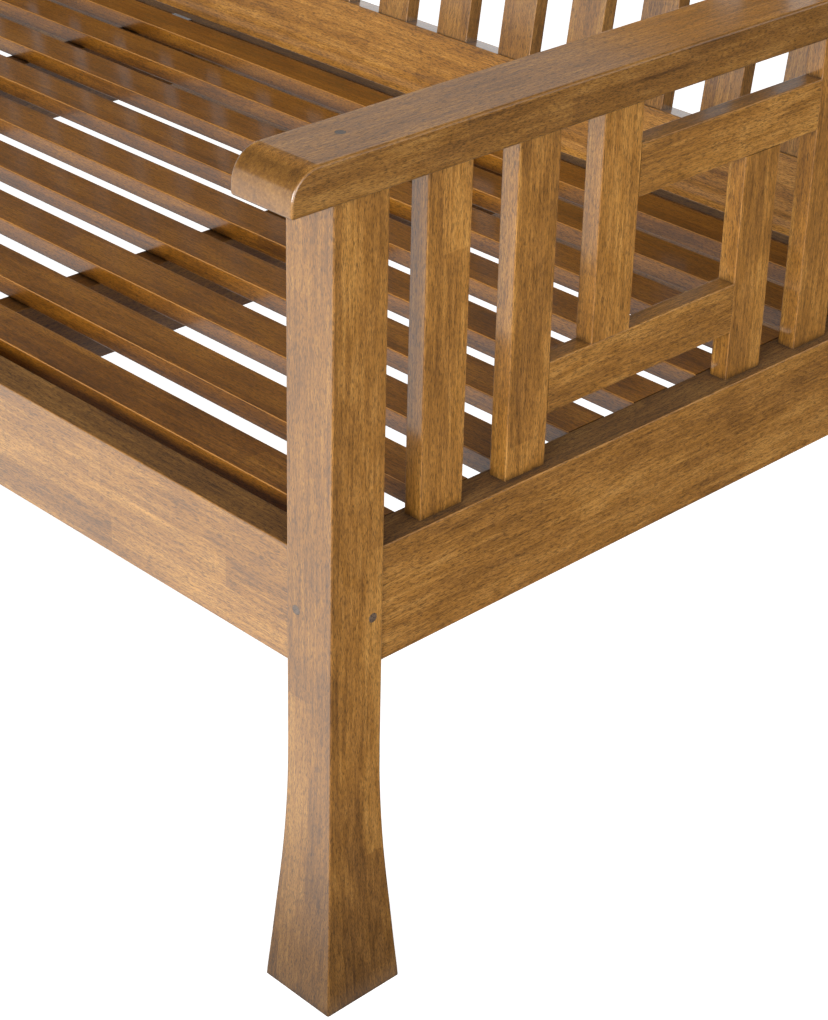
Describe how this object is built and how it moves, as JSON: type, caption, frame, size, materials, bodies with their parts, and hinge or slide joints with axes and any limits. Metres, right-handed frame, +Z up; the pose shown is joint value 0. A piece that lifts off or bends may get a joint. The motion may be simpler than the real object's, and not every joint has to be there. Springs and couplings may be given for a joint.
{
  "type": "mission settle",
  "caption": "Long mission-style wooden settle with a slatted seat, a raked slatted back, flat arms over slats and crosspieces, and square posts on flared feet.",
  "frame": {"origin": "on the floor, under the middle of the settle's bounding box", "axes": "+X along the seat to the sitter's left, +Y from the front to the back, +Z up"},
  "size_m": [2.2558, 0.9332, 0.9653],
  "materials": {
    "frame_wood": "honey-walnut stain under semi-gloss lacquer",
    "seat_wood": "red-brown stain under semi-gloss lacquer",
    "peg_wood": "dark stained end grain under semi-gloss lacquer",
    "screw_steel": "zinc-plated steel"
  },
  "bodies": {
    "root": {"arm_dowels": "peg_wood", "arm_left": "frame_wood", "arm_pegs": "peg_wood", "arm_right": "frame_wood", "back_bottom_rail": "frame_wood", "back_slats_left": "frame_wood", "back_slats_middle": "frame_wood", "back_slats_right": "frame_wood", "back_top_rail": "frame_wood", "bearer_1": "seat_wood", "bearer_2": "seat_wood", "bearer_3": "seat_wood", "cleat_left": "seat_wood", "cleat_right": "seat_wood", "cleat_screws": "screw_steel", "front_post_left": "frame_wood", "front_post_right": "frame_wood", "front_rail": "frame_wood", "rail_pegs": "peg_wood", "rear_post_left": "frame_wood", "rear_post_right": "frame_wood", "rear_rail": "frame_wood", "seat_slat_1": "seat_wood", "seat_slat_2": "seat_wood", "seat_slat_3": "seat_wood", "seat_slat_4": "seat_wood", "seat_slat_5": "seat_wood", "seat_slat_6": "seat_wood", "seat_slat_7": "seat_wood", "seat_slat_8": "seat_wood", "seat_slat_9": "seat_wood", "side_lower_crosspiece_left": "frame_wood", "side_lower_crosspiece_right": "frame_wood", "side_rail_left": "frame_wood", "side_rail_right": "frame_wood", "side_slat_1_left": "frame_wood", "side_slat_1_right": "frame_wood", "side_slat_2_left": "frame_wood", "side_slat_2_right": "frame_wood", "side_slat_3_upper_left": "frame_wood", "side_slat_3_upper_right": "frame_wood", "side_slat_4_lower_left": "frame_wood", "side_slat_4_lower_right": "frame_wood", "side_slat_5_left": "frame_wood", "side_slat_5_right": "frame_wood", "side_slat_6_left": "frame_wood", "side_slat_6_right": "frame_wood", "side_upper_crosspiece_left": "frame_wood", "side_upper_crosspiece_right": "frame_wood", "slat_dowels": "peg_wood"}
  },
  "joints": []
}
